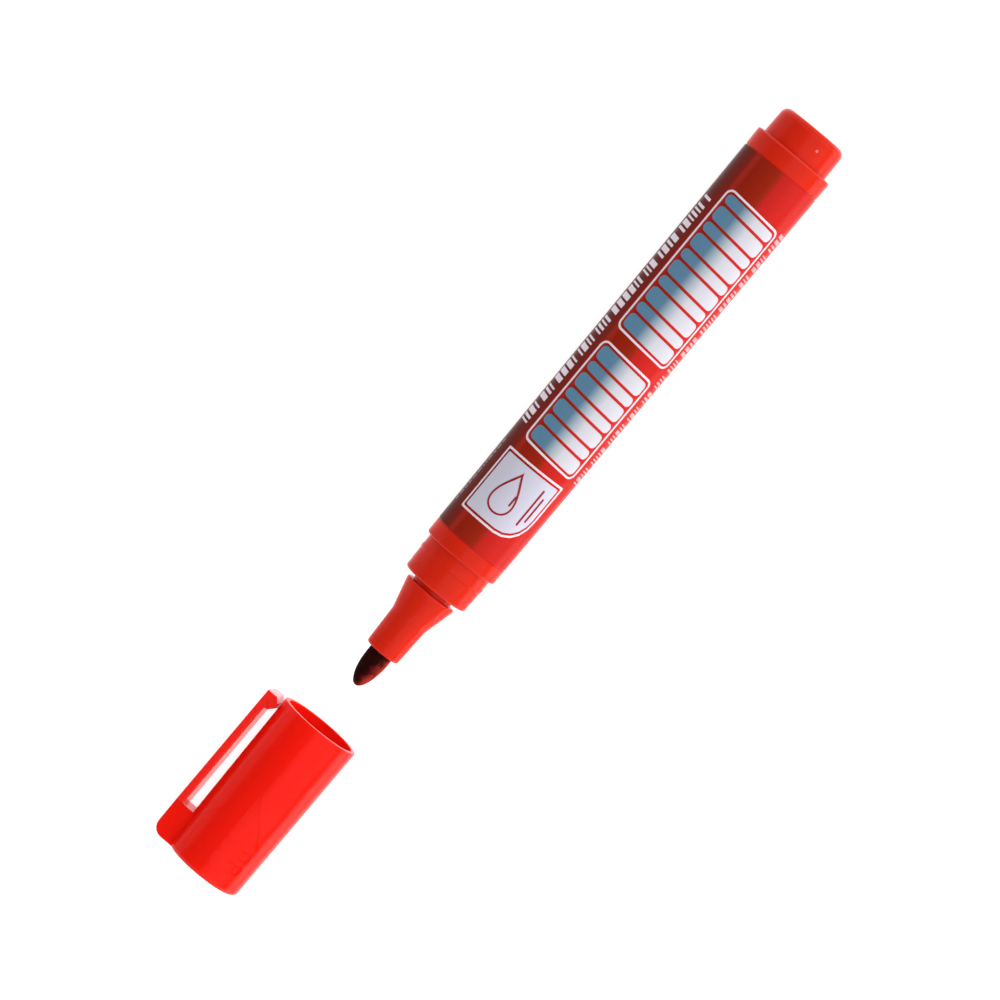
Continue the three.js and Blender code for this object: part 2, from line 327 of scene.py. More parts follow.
def cut_across(bm, place, direction):
    """Cuts all faces of a bmesh at a distance along a direction."""
    geometry = list(bm.verts) + list(bm.edges) + list(bm.faces)
    bmesh.ops.bisect_plane(bm, geom=geometry, plane_co=direction * place, plane_no=direction)


def stand_beside_cap(bm):
    """Moves a bar made in (x, height, side) to where the clip stands off the cap."""
    for vert in bm.verts:
        x, height, side = vert.co
        vert.co = ALONG * x + CLIP_OUT * height + CLIP_SIDE * side


# -------- material helpers


# The Mix node's sockets when it mixes colours
MIX_SHARE, MIX_FIRST, MIX_SECOND, MIX_RESULT = 0, 6, 7, 2


class Material:
    """A node material that is built up socket by socket."""

    def __init__(self, name):
        self.material = bpy.data.materials.new(name)
        self.material.use_nodes = True
        self.tree = self.material.node_tree
        self.shader = self.tree.nodes["Principled BSDF"]

    def node(self, kind, inputs=None, **settings):
        """A new node, with values or linked sockets as its inputs."""
        made = self.tree.nodes.new(kind)
        for key, value in settings.items():
            setattr(made, key, value)
        for key, value in (inputs or {}).items():
            if isinstance(value, bpy.types.NodeSocket):
                self.tree.links.new(value, made.inputs[key])
            else:
                made.inputs[key].default_value = value
        return made

    def set(self, **values):
        """Sets the shader's inputs, named with underscores for spaces."""
        for key, value in values.items():
            socket = self.shader.inputs[key.replace("_", " ")]
            if isinstance(value, bpy.types.NodeSocket):
                self.tree.links.new(value, socket)
            else:
                socket.default_value = value

    def position(self, stretch=(1, 1, 1)):
        """Object position, in metres, with one axis stretched or squeezed."""
        place = self.node("ShaderNodeTexCoord").outputs["Object"]
        if stretch == (1, 1, 1):
            return place
        mapping = self.node("ShaderNodeMapping", {"Vector": place, "Scale": stretch})
        return mapping.outputs["Vector"]

    def grain(self, size, stretch=(1, 1, 1), detail=3.0, roughness=0.55):
        """Noise whose features are about size millimetres across."""
        made = self.node(
            "ShaderNodeTexNoise",
            {
                "Vector": self.position(stretch),
                "Scale": 1 / (size * MM),
                "Detail": detail,
                "Roughness": roughness,
            },
        )
        return made.outputs["Fac"]

    def ramp(self, value, stops):
        """Looks a 0 to 1 value up in (place, colour) stops."""
        made = self.node("ShaderNodeValToRGB", {"Fac": value})
        ramp = made.color_ramp
        while len(ramp.elements) < len(stops):
            ramp.elements.new(0.5)
        for element, (place, color) in zip(ramp.elements, stops):
            element.position = place
            element.color = (*color, 1)
        return made.outputs["Color"]

    def mix(self, share, first, second):
        """Mixes two colours, each a socket or (r, g, b)."""
        colors = [
            color if isinstance(color, bpy.types.NodeSocket) else (*color, 1)
            for color in (first, second)
        ]
        made = self.node(
            "ShaderNodeMix",
            {MIX_SHARE: share, MIX_FIRST: colors[0], MIX_SECOND: colors[1]},
            data_type="RGBA",
        )
        return made.outputs[MIX_RESULT]

    def spread(self, value, low, high):
        """Moves a 0 to 1 value to the range low to high."""
        made = self.node("ShaderNodeMapRange", {"Value": value, "To Min": low, "To Max": high})
        return made.outputs["Result"]

    def math(self, operation, first, second=0.0):
        """The result of a Math node."""
        made = self.node("ShaderNodeMath", {0: first, 1: second}, operation=operation)
        return made.outputs[0]

    def worn_edges(self):
        """1 on convex edges, 0 elsewhere."""
        return self.node("ShaderNodeAttribute", attribute_name="edge_wear").outputs["Fac"]

    def bump(self, height, strength, depth):
        """A normal bumped by height, to a depth in millimetres."""
        made = self.node(
            "ShaderNodeBump",
            {"Height": height, "Strength": strength, "Distance": depth * MM},
        )
        return made.outputs["Normal"]


def moulded_plastic(name, color, deep, roughness, specular, glow, depth=1.5):
    """Moulded polypropylene: faint flow streaks, fine spark-eroded grain, paler worn edges.

    glow is how much light passes through the skin, and depth how far it goes, in millimetres.
    """
    streak_size, cloud_size, patch_size, fine_size, grain_size = 3.0, 14.0, 1.2, 0.2, 0.12
    swing = 0.07
    made = Material(name)
    flow = made.grain(streak_size, stretch=ALONG_PEN)
    cloud = made.grain(cloud_size)
    base = made.mix(made.spread(flow, 0.0, 0.5), color, deep)
    base = made.mix(made.spread(cloud, 0.0, 0.35), base, deep)
    pale = [min(1.0, 1.15 * channel + 0.03) for channel in color]
    base = made.mix(made.math("MULTIPLY", made.worn_edges(), 0.5), base, pale)
    rough = made.math("ADD", made.grain(patch_size), made.grain(fine_size))
    half_rough = made.math("MULTIPLY", rough, 0.5)
    made.set(
        Base_Color=base,
        Roughness=made.spread(half_rough, roughness - swing, roughness + swing),
        Normal=made.bump(made.grain(grain_size, detail=2.0), 0.35, 0.012),
        Specular_IOR_Level=specular,
        Subsurface_Weight=glow,
        Subsurface_Scale=depth * MM,
        Subsurface_Radius=GLOW_BY_CHANNEL,
    )
    return made.material


# -------- materials

ALONG_PEN = (0.12, 1, 1)  # stretches a grain along X into streaks
GLOW_BY_CHANNEL = (1.0, 0.12, 0.06)  # red light goes deepest into the plastic

BODY_RED = (0.68, 0.0205, 0.0066)
BODY_DEEP = (0.60, 0.0170, 0.0054)
NOSE_RED = (0.70, 0.0205, 0.0066)
NOSE_DEEP = (0.63, 0.0175, 0.0056)
# Painted highlight: a pale red for the plug's gate mark, in place of a glint on it
GATE_HIGHLIGHT_RED = (0.95, 0.30, 0.26)
CAP_RED = (0.96, 0.0100, 0.0030)
CAP_DEEP = (0.92, 0.0085, 0.0026)
# Painted highlight: a pale pink for the clip tip's end faces, in place of the white they reflect
TIP_HIGHLIGHT_PALE = (0.94, 0.50, 0.54)
TIP_HIGHLIGHT_DEEP = (0.92, 0.40, 0.44)
LINER_PALE = (0.74, 0.70, 0.64)
LINER_DEEP = (0.62, 0.58, 0.52)
PRINT_MAROON = (0.235, 0.0130, 0.0052)
# The darkest tone serves the ink mottle and also the painted shade at the clip's edge; the streak
# tone is a painted reflection of a strip light
PRINT_DARK_AND_PAINTED_SHADE = (0.100, 0.0083, 0.0052)
PAINTED_REFLECTION_STREAK = (0.400, 0.0220, 0.0100)
# The band across the half turn that faces the camera, from the clip's side: printed maroon then
# red, with painted shade at the clip's side and a painted reflection streak
GROUND_AND_PAINTED_SHADE_STOPS = [
    (0.03, PRINT_DARK_AND_PAINTED_SHADE),
    (0.16, (0.235, 0.0142, 0.0065)),
    (0.19, PAINTED_REFLECTION_STREAK),
    (0.225, PAINTED_REFLECTION_STREAK),
    (0.25, (0.315, 0.0172, 0.0065)),
    (0.50, (0.355, 0.0195, 0.0055)),
    (0.535, (0.420, 0.0200, 0.0060)),
    (0.565, (0.600, 0.0150, 0.0110)),
    (0.80, (0.640, 0.0200, 0.0155)),
]
INK_WHITE = (0.63, 0.61, 0.67)
# The strokes' fade from steel blue to white, from FADE_START to FADE_END
FADE_STOPS = [
    (0.0, (0.11, 0.27, 0.41)),
    (0.10, (0.075, 0.215, 0.345)),
    (0.34, (0.080, 0.185, 0.295)),
    (0.47, (0.40, 0.46, 0.52)),
    (0.58, INK_WHITE),
    (1.0, (0.64, 0.61, 0.67)),
]
FADE_SCREEN = (0.45, 0.52, 0.62)
FADE_START = ART_ANGLE - math.radians(41)
FADE_END = ART_ANGLE + math.radians(56)


def angle_round_pen(made):
    """A place's angle round the pen, from -Y over the top, in object space."""
    place = made.node("ShaderNodeSeparateXYZ", {0: made.position()})
    back = made.math("MULTIPLY", place.outputs["Y"], -1.0)
    return made.math("ARCTAN2", place.outputs["Z"], back)


def film_color_and_painted_shade(made):
    """The band's printed colours, maroon towards the clip and bright red on the far side, with
    painted shade darkening the clip's side and a painted reflection streak.
    """
    facing = made.math("SUBTRACT", angle_round_pen(made), ART_ANGLE)
    # From 0 to 1 over the half turn with the artwork in its middle
    across = made.math("MULTIPLY", made.math("SINE", facing), 0.5)
    front = made.ramp(made.math("ADD", across, 0.5), GROUND_AND_PAINTED_SHADE_STOPS)
    behind = made.math("LESS_THAN", made.math("COSINE", facing), 0.0)
    return made.mix(behind, front, PRINT_MAROON)


def film_material():
    """Glossy printed film: printed colours with painted shade and a painted reflection streak, ink
    mottle and fine handling scratches.
    """
    made = Material("printed_film")
    mottle = made.grain(0.5, detail=4.0)
    ground_and_painted_shade = made.mix(made.spread(mottle, 0.0, 0.25), film_color_and_painted_shade(made), PRINT_DARK_AND_PAINTED_SHADE)
    scratch = made.grain(0.6, stretch=(0.05, 1, 1), detail=5.0)
    made.set(
        Base_Color=ground_and_painted_shade,
        Roughness=made.spread(scratch, 0.16, 0.28),
        Normal=made.bump(made.grain(2.0), 0.12, 0.02),
        Specular_IOR_Level=0.04,
    )
    return made.material


def set_as_ink(made, base):
    """The satin, finely grained surface that every screen-printed ink has."""
    made.set(
        Base_Color=base,
        Roughness=made.spread(made.grain(0.5), 0.34, 0.48),
        Normal=made.bump(made.grain(0.1), 0.25, 0.006),
        Specular_IOR_Level=0.15,
    )
    return made.material


def ink_material(name, color, second, mottle_size=0.4):
    """Ink in two close tones, mixed in a fine mottle."""
    made = Material(name)
    mottle = made.spread(made.grain(mottle_size, detail=4.0), 0.0, 0.6)
    return set_as_ink(made, made.mix(mottle, color, second))


def fading_ink_material():
    """Ink that fades from steel blue on the clip side to white on the far side."""
    made = Material("ink_fade")
    share = made.node(
        "ShaderNodeMapRange",
        {"Value": angle_round_pen(made), "From Min": FADE_START, "From Max": FADE_END},
    ).outputs["Result"]
    screen = made.spread(made.grain(0.35, detail=4.0), 0.0, 0.14)
    return set_as_ink(made, made.mix(screen, made.ramp(share, FADE_STOPS), FADE_SCREEN))


def felt_material():
    """Pressed fibre soaked with red ink: streaks along the nib, with painted shade making it near
    black on the clip's side and by its tube, and a lit red on the far side.
    """
    blotch_reach = 0.7 * NIB_RADIUS * MM
    paler_to_tip = 0.22
    made = Material("nib_felt")
    fibres = made.grain(0.16, stretch=(0.10, 1, 1), detail=6.0, roughness=0.7)
    blotch = made.grain(1.6, detail=3.0)
    lit_felt = made.ramp(fibres, [(0.36, (0.25, 0.015, 0.011)), (0.66, (0.52, 0.038, 0.026))])
    painted_shade_felt = made.ramp(fibres, [(0.36, (0.006, 0.0008, 0.0008)), (0.66, (0.034, 0.004, 0.003))])
    place = made.node("ShaderNodeSeparateXYZ", {0: made.position()})
    # Painted shade: darker on the clip's side and towards the tube, broken up by random blotches
    uneven = made.spread(blotch, -blotch_reach, blotch_reach)
    side = made.math("ADD", place.outputs["Y"], uneven)
    from_mouth = made.math("SUBTRACT", place.outputs["X"], NOSE_MOUTH * MM)
    along = made.math("MULTIPLY", from_mouth, paler_to_tip)
    share = made.node(
        "ShaderNodeMapRange",
        {
            "Value": made.math("ADD", side, along),
            "From Min": 0.0,
            "From Max": 1.25 * NIB_RADIUS * MM,
        },
        interpolation_type="SMOOTHSTEP",
    ).outputs["Result"]
    height = made.math("ADD", fibres, made.grain(0.09, stretch=(0.3, 1, 1), detail=4.0))
    made.set(
        Base_Color=made.mix(share, painted_shade_felt, lit_felt),
        Roughness=made.spread(fibres, 0.60, 0.85),
        Normal=made.bump(height, 0.7, 0.05),
        Specular_IOR_Level=0.02,
    )
    return made.material


def fibre_material():
    """The ink rod: bundled polyester fibres, soaked red."""
    made = Material("ink_fibre")
    strands = made.grain(0.25, stretch=(0.04, 1, 1), detail=5.0)
    base = made.ramp(strands, [(0.35, (0.30, 0.012, 0.03)), (0.65, (0.62, 0.06, 0.09))])
    made.set(
        Base_Color=base,
        Roughness=made.spread(strands, 0.75, 0.95),
        Normal=made.bump(strands, 0.6, 0.08),
    )
    return made.material


def clear_film_material():
    """The film round the ink rod: milky plastic with faint creases."""
    made = Material("wrap_film")
    crease = made.grain(2.5, stretch=(0.3, 1, 1), detail=5.0)
    base = made.mix(crease, (0.66, 0.60, 0.57), (0.78, 0.74, 0.71))
    made.set(
        Base_Color=base,
        Roughness=made.spread(crease, 0.15, 0.32),
        Normal=made.bump(crease, 0.4, 0.06),
    )
    return made.material


BODY_PLASTIC = moulded_plastic("body_plastic", BODY_RED, BODY_DEEP, 0.20, 0.07, 0.10)
NOSE_PLASTIC = moulded_plastic("nose_plastic", NOSE_RED, NOSE_DEEP, 0.20, 0.07, 0.5, 2.5)
GATE_HIGHLIGHT_PLASTIC = moulded_plastic("gate_painted_highlight", GATE_HIGHLIGHT_RED, BODY_RED, 0.3, 0.2, 0.2)
CAP_PLASTIC = moulded_plastic("cap_plastic", CAP_RED, CAP_DEEP, 0.19, 0.085, 0.35)
TIP_HIGHLIGHT_PLASTIC = moulded_plastic("clip_tip_painted_highlight", TIP_HIGHLIGHT_PALE, TIP_HIGHLIGHT_DEEP, 0.3, 0.10, 0.3)
LINER_PLASTIC = moulded_plastic("liner_plastic", LINER_PALE, LINER_DEEP, 0.5, 0.4, 0.15)
FILM = film_material()
INK_FADE = fading_ink_material()
INK_LINE = ink_material("ink_line", (0.82, 0.72, 0.80), (0.70, 0.60, 0.69))
INK_PANEL = ink_material("ink_panel", (0.58, 0.57, 0.68), (0.64, 0.62, 0.71), 2.0)
INK_SOFT = ink_material("ink_soft", (0.60, 0.36, 0.38), (0.50, 0.28, 0.30))
INK_SMALL = ink_material("ink_small", (0.30, 0.24, 0.28), (0.22, 0.17, 0.20))
INK_DARK = ink_material("ink_dark", (0.32, 0.016, 0.018), (0.24, 0.012, 0.014))
FELT = felt_material()
FIBRE = fibre_material()
WRAP_FILM = clear_film_material()


def dress(piece, material, body, slot, *nodes):
    """Gives a piece its material and body, and hides the CAD nodes that it stands for; slot is not
    used.
    """
    piece.data.materials.append(material)
    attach(piece, body)
    if nodes:
        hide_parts(*nodes)


# -------- the pen


def make_end_plug():
    """The rear plug: a cup with a post for the ink rod, and a shallow ring round its end."""
    ring_radius, ring_half_width, ring_depth = 3.0, 0.4, 0.18
    skirt_radius, bore_radius, post_radius = 7.10, 5.90, 2.40
    end_rounding = 1.6
    floor = PLUG_END + 1.6
    seat_end = BARREL_REAR + 1.9
    piece = turned(
        "rear_plug",
        [
            (PLUG_END, 0),
            (PLUG_END, ring_radius - ring_half_width, 0.3),
            (PLUG_END + ring_depth, ring_radius, 0.3),
            (PLUG_END, ring_radius + ring_half_width, 0.3),
            (PLUG_END, PLUG_RADIUS - 0.1, end_rounding),
            (BARREL_REAR - 0.1, PLUG_RADIUS, 0.1),
            (seat_end, PLUG_RADIUS, 0.1),
            (seat_end, skirt_radius, 0.1),
            (PLUG_INNER, skirt_radius, 0.3),
            (PLUG_INNER, bore_radius, 0.3),
            (floor, bore_radius, 0.4),
            (floor, post_radius, 0.3),
            (PLUG_INNER, post_radius, 0.3),
            (PLUG_INNER, 0),
        ],
        closed=False,
    )
    dress(piece, BODY_PLASTIC, "pen", "body_red", "end_plug")


def make_gate_mark():
    """The small scar on the plug's side where the moulding was cut from its runner."""
    radius, flatness, sunk = 0.28, 0.5, 0.06
    ripple_height, ripple_pace = 0.04, 4.0
    station = PLUG_END + 3.2
    angle = CAMERA_ELEVATION + math.radians(22)
    bm = bmesh.new()
    bmesh.ops.create_uvsphere(bm, u_segments=24, v_segments=12, radius=radius)
    bmesh.ops.scale(bm, vec=(1, 1, flatness), verts=bm.verts)
    for vert in bm.verts:
        ripple = noise.noise(vert.co * ripple_pace)
        vert.co += vert.co.normalized() * ripple_height * ripple
    place = around(station, PLUG_RADIUS - sunk, angle)
    outward = around(0, 1, angle)
    turn = outward.to_track_quat("Z", "X").to_matrix().to_4x4()
    bmesh.ops.transform(bm, matrix=Matrix.Translation(place) @ turn, verts=bm.verts)
    piece = finish_mesh("plug_gate_mark", bm)
    # The gate mark's pale material is a painted highlight
    dress(piece, GATE_HIGHLIGHT_PLASTIC, "pen", "body_red")


def make_barrel():
    """The tapered tube: a recess for the band, and a collar with a bead for the cap."""
    shoulder = BARREL_SHOULDER
    seat = BARREL_REAR + 2.2
    seat_radius = PLUG_RADIUS + 0.15
    recess_start, recess_end = LABEL_START - LABEL_GAP, LABEL_END + LABEL_GAP
    recess_slope = 0.04
    rear_radius, front_radius = barrel_radius(LABEL_START), barrel_radius(LABEL_END)
    bead_radius = COLLAR_RADIUS + 0.09
    front_wall = COLLAR_END - 1.5
    spigot_hole, collar_bore, front_bore, rear_bore = 4.12, 6.0, 7.1, 7.4
    piece = turned(
        "barrel_tube",
        [
            (BARREL_REAR, seat_radius, 0.12),
            (BARREL_REAR, BARREL_REAR_RADIUS, 0.45),
            (BARREL_REAR + BARREL_FLARE_LENGTH, BARREL_FLARE_RADIUS + 0.02, 0.6),
            (recess_start - recess_slope, rear_radius, 0.02),
            (recess_start, rear_radius - LABEL_RECESS, 0.02),
            (recess_end, front_radius - LABEL_RECESS, 0.02),
            (recess_end + recess_slope, front_radius, 0.02),
            (shoulder, BARREL_FRONT_RADIUS, 0.45),
            (shoulder, COLLAR_RADIUS, 0.12),
            (shoulder + 1.9, COLLAR_RADIUS - 0.02, 0.2),
            (shoulder + 2.35, bead_radius, 0.15),
            (shoulder + 2.75, bead_radius, 0.15),
            (shoulder + 3.15, COLLAR_RADIUS - 0.05, 0.2),
            (shoulder + 5.6, COLLAR_RADIUS - 0.08, 0.2),
            (shoulder + 5.75, COLLAR_RADIUS - 0.12, 0.1),
            (COLLAR_END, COLLAR_RADIUS - 0.14, 0.5),
            (COLLAR_END, spigot_hole, 0.15),
            (front_wall, spigot_hole, 0.1),
            (front_wall, collar_bore, 0.2),
            (shoulder - 1.5, collar_bore, 0.3),
            (shoulder - 3.0, front_bore, 0.3),
            (seat, rear_bore, 0.1),
            (seat, seat_radius, 0.1),
        ],
    )
    dress(piece, BODY_PLASTIC, "pen", "body_red", "barrel")


def film_radius(x):
    """Outer radius of the printed band at station x."""
    return barrel_radius(x) + FILM_LIFT


def make_label_film():
    """The printed band, with the lap where its two ends meet at the back."""
    lap_angle = ART_ANGLE + math.pi
    lap_width = math.radians(5)
    lap_height = 0.04

    def lapped(x, radius, angle):
        from_lap = math.remainder(angle - lap_angle, 2 * math.pi)
        rise = smoothstep(-lap_width, -lap_width * 0.9, from_lap)
        rise *= 1 - smoothstep(0, lap_width * 0.1, from_lap)
        return around(x, radius + lap_height * rise, angle)

    thin = FILM_LIFT + LABEL_RECESS
    piece = turned(
        "label_band",
        [
            (LABEL_START, barrel_radius(LABEL_START) - 0.03, 0.01),
            (LABEL_START, film_radius(LABEL_START), 0.03),
            (LABEL_END, film_radius(LABEL_END), 0.03),
            (LABEL_END, film_radius(LABEL_END) - thin, 0.01),
            (LABEL_START + 0.2, film_radius(LABEL_START) - thin, 0.01),
        ],
        sides=2 * SIDES,
        shape=lapped,
    )
    dress(piece, FILM, "pen", "printed_film", "label_film")


def make_nose_cone():
    """The nib holder: a spigot in the collar, a groove, a cone and a slim tube."""
    spigot_radius, groove_radius, base_radius, mouth_radius = 4.0, 4.5, 5.70, 3.72
    bore, mouth_bore = 2.56, 2.62
    groove_start = COLLAR_END + 0.06
    base = COLLAR_END + 1.05
    cone_end = base + 7.2
    piece = turned(
        "nose_cone_tip",
        [
            (SPIGOT_START, 2.75, 0.2),
            (SPIGOT_START, spigot_radius, 0.5),
            (groove_start, spigot_radius, 0.02),
            (groove_start, groove_radius, 0.1),
            (base, groove_radius, 0.12),
            (base, base_radius, 0.32),
            (base + 0.7, base_radius - 0.1, 0.3),
            (cone_end - 0.35, 4.02, 2.2),
            (NOSE_MOUTH, mouth_radius, 0.55),
            (NOSE_MOUTH, mouth_bore, 0.2),
            (NOSE_MOUTH - 1.2, bore, 0.2),
            (SPIGOT_START + 1.0, bore, 0.2),
        ],
    )
    dress(piece, NOSE_PLASTIC, "pen", "nose_red", "nose_cone")


def streak_noise(x, angle, along, round_pen):
    """Noise on a round piece, at one pace along it and another round it."""
    place = Vector((x * along, round_pen * math.cos(angle), round_pen * math.sin(angle)))
    return noise.noise(place)


def make_nib():
    """The fibre nib: a rod with a bullet point, its surface broken into fibres."""
    point_length, point_steps = 7.0, 30
    fibre_pitch = 0.35
    corners = [(NIB_REAR, 0), (NIB_REAR, NIB_RADIUS - 0.35, 0.1), (NIB_REAR + 0.5, NIB_RADIUS, 0.2)]
    for step in range(point_steps + 1):
        angle = math.pi / 2 * (1 - step / point_steps)
        from_tip = point_length * (1 - math.cos(angle))
        corners.append((NIB_TIP - from_tip, NIB_RADIUS * math.sin(angle)))

    def fibrous(x, radius, angle):
        lift = 0.035 * streak_noise(x, angle, 0.5, 7) + 0.022 * streak_noise(x, angle, 2.2, 19)
        share = smoothstep(0, 1.2, radius)
        return around(x, max(radius - 0.02 * share + lift * share, 0.005), angle)

    piece = turned("fibre_nib", corners, closed=False, pitch=fibre_pitch, shape=fibrous)
    dress(piece, FELT, "pen", "nib_felt", "nib")


def make_ink_rod():
    """The fibre rod that holds the ink, with a hole for the nib's rear end."""
    rod_radius, hole = 6.0, 2.7
    hole_end = NIB_REAR - 0.2

    def stranded(x, radius, angle):
        return around(x, radius + 0.05 * streak_noise(x, angle, 0.15, 9), angle)

    rod = turned(
        "ink_rod",
        [
            (RESERVOIR_START, 0),
            (RESERVOIR_START, rod_radius, 0.4),
            (RESERVOIR_END, rod_radius, 0.4),
            (RESERVOIR_END, hole, 0.2),
            (hole_end, hole, 0.2),
            (hole_end, 0),
        ],
        closed=False,
        pitch=4.0,
        shape=stranded,
    )
    dress(rod, FIBRE, "pen", "ink_fibre", "reservoir_core")


def make_ink_rod_film():
    """The thin film rolled round the ink rod."""
    inner, outer = 6.30, 6.48
    film = turned(
        "ink_rod_film",
        [
            (WRAP_START, inner, 0.02),
            (WRAP_START, outer, 0.05),
            (WRAP_END, outer, 0.05),
            (WRAP_END, inner, 0.02),
        ],
    )
    dress(film, WRAP_FILM, "pen", "wrap_film", "reservoir_wrap")


# -------- the cap

ROOT_BLOCK_START = CLIP_ROOT + 0.3
BORE_LIMIT, SKIN_LIMIT = 7.9, 8.1  # radii between the cap's bore and its outer skin
MARK_ANGLE = CAMERA_ELEVATION  # about a quarter turn from the clip
MARK_HALF_WIDTH = 6.6
MARK_DEPTH = 0.5
MARK_MIDDLE_SHARE = 0.12  # of that depth on the middle line
MARK_NEAR_SHARE = 0.15  # of that depth on the side towards the clip
MARK_EDGE = 0.13
MARK_BARS = ((4.25, 5.95), (7.35, 9.05))  # from the cap's closed end
ARROW_BASE = 10.5
ARROW_POINT = 19.2
MARKS_START = CAP_END - ARROW_POINT - 1
MARKS_END = CAP_END - 3


def below(value, high):
    """1 below high, fading out over the recess's sloping edge."""
    return 1 - smoothstep(high - MARK_EDGE, high + MARK_EDGE, value)


def between(value, low, high):
    """1 between low and high, fading out over the same edge on both sides."""
    return smoothstep(low - MARK_EDGE, low + MARK_EDGE, value) * below(value, high)


def mark_share(x, angle):
    """How deep the grip marks are at a place on the cap, from 0 to 1."""
    from_end = CAP_END - x
    turn = math.remainder(angle - MARK_ANGLE, 2 * math.pi)
    across = abs(turn) * CAP_END_RADIUS
    share = 0.0
    for low, high in MARK_BARS:
        share = max(share, between(from_end, low, high) * below(across, MARK_HALF_WIDTH))
    half = MARK_HALF_WIDTH * (ARROW_POINT - from_end) / (ARROW_POINT - ARROW_BASE)
    arrow = between(from_end, ARROW_BASE, ARROW_POINT) * below(across, half)
    hollow = MARK_MIDDLE_SHARE + (1 - MARK_MIDDLE_SHARE) * (across / MARK_HALF_WIDTH) ** 2
    if turn < 0:
        hollow *= MARK_NEAR_SHARE
    return max(share, arrow) * min(hollow, 1.0)


def cap_surface(x, radius, angle):
    """Sinks the grip marks into the cap's skin and leaves its bore as it is."""
    outer = smoothstep(BORE_LIMIT, SKIN_LIMIT, radius)
    if outer and MARKS_START < x < MARKS_END:
        radius -= MARK_DEPTH * outer * mark_share(x, angle)
    return around(x, radius, angle)


def keep_marks_unworn(shell):
    """The grip marks lie below the skin, so their edges don't wear."""
    wear = shell.data.attributes["edge_wear"].data
    for vert in shell.data.vertices:
        if MARKS_START < vert.co.x / MM < MARKS_END:
            wear[vert.index].value = 0.0


def make_cap_root():
    """The solid root that joins the clip to the cap's closed end."""
    low = 6.6  # well inside the cap's skin, so that the two join
    end = CAP_END - 0.15
    corners = [
        (ROOT_BLOCK_START, low),
        (end, low),
        (end, clip_face(CLIP_ROOT), 2.3),
        (ROOT_BLOCK_START, clip_face(ROOT_BLOCK_START)),
    ]
    bm = bar_bmesh(outline(corners), CLIP_WIDTH / 2, ROOT_BLOCK_START)
    stand_beside_cap(bm)
    return finish_mesh("cap_root_block", bm)


def apply_modifiers(piece):
    """Makes a piece's modified shape its mesh."""
    graph = bpy.context.evaluated_depsgraph_get()
    mesh = bpy.data.meshes.new_from_object(piece.evaluated_get(graph))
    piece.modifiers.clear()
    piece.data = mesh


def join_pieces(first, second):
    """Joins two closed pieces into the first, and drops the second."""
    modifier = first.modifiers.new("join", "BOOLEAN")
    modifier.operation = "UNION"
    modifier.object = second
    modifier.solver = "EXACT"
    apply_modifiers(first)
    bpy.data.objects.remove(second)
    first.data.set_sharp_from_angle(angle=SHARP_ANGLE)


def shade_flats_flat(piece):
    """Lets the large faces set the shading, so that flats look flat up to their rounded edges."""
    modifier = piece.modifiers.new("shade", "WEIGHTED_NORMAL")
    modifier.keep_sharp = True
    apply_modifiers(piece)


def make_cap():
    """The cap: a cup with a snap ring in its bore, a dimple in its end and the clip's root."""
    bore, ring_bore = 7.56, 7.66
    floor = CAP_END - 1.2
    dimple = CAP_END - 0.2
    shell = turned(
        "cap_body",
        [
            (CAP_MOUTH, 7.62, 0.12),
            (CAP_MOUTH, CAP_MOUTH_RADIUS, 0.22),
            (CAP_END, CAP_END_RADIUS, 1.0),
            (CAP_END, 2.1, 0.3),
            (dimple, 1.7, 0.3),
            (dimple, 0),
            (floor, 0),
            (floor, 7.3, 0.4),
            (CAP_MOUTH + 8.0, 7.5, 0.3),
            (CAP_MOUTH + 3.4, bore, 0.2),
            (CAP_MOUTH + 3.0, ring_bore, 0.15),
            (CAP_MOUTH + 2.3, ring_bore, 0.15),
            (CAP_MOUTH + 1.9, bore, 0.2),
        ],
        pitch=CAP_PITCH,
        sides=CAP_SIDES,
        shape=cap_surface,
    )
    keep_marks_unworn(shell)
    join_pieces(shell, make_cap_root())
    shade_flats_flat(shell)
    dress(shell, CAP_PLASTIC, "cap", "cap_red", "cap_shell")


def make_clip():
    """The clip's bar with its hook, cut across many times behind the hook."""
    root = ROOT_BLOCK_START + 0.02
    low = CAP_MOUTH_RADIUS + 0.1
    thick = 2.25  # at the free end and at the hook's heel
    heel = CLIP_TIP + 3.35
    cuts, cut_pitch = 51, 0.45  # across the bar, for it to bend at
    highlight_length, highlight_facing = 1.2, -0.6
    corners = [
        (CLIP_TIP, clip_face(CLIP_TIP), 0.35),
        (CLIP_TIP, clip_face(CLIP_TIP) - thick, 0.2),
        (CLIP_TIP + 1.15, low, 0.25),
        (CLIP_TIP + 2.3, low, 0.25),
        (heel, clip_face(heel) - thick, 0.2),
        (heel + 0.05, clip_face(heel) - CLIP_THICKNESS, 0.2),
        (root, clip_face(root) - CLIP_THICKNESS),
        (root, clip_face(root)),
    ]
    bm = bar_bmesh(outline(corners), CLIP_WIDTH / 2, root)
    for step in range(1, cuts + 1):
        cut_across(bm, heel + 0.5 + step * cut_pitch, Vector((1, 0, 0)))
    stand_beside_cap(bm)
    piece = finish_mesh("cap_clip", bm)
    shade_flats_flat(piece)
    piece.data.materials.append(CAP_PLASTIC)
    piece.data.materials.append(TIP_HIGHLIGHT_PLASTIC)
    # Painted highlight: the tip's faces that look back along the pen take the pale material
    for face in piece.data.polygons:
        at_tip = face.center.x < (CLIP_TIP + highlight_length) * MM
        face.material_index = 1 if at_tip and face.normal.x < highlight_facing else 0
    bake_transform(piece)
    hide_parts("clip")


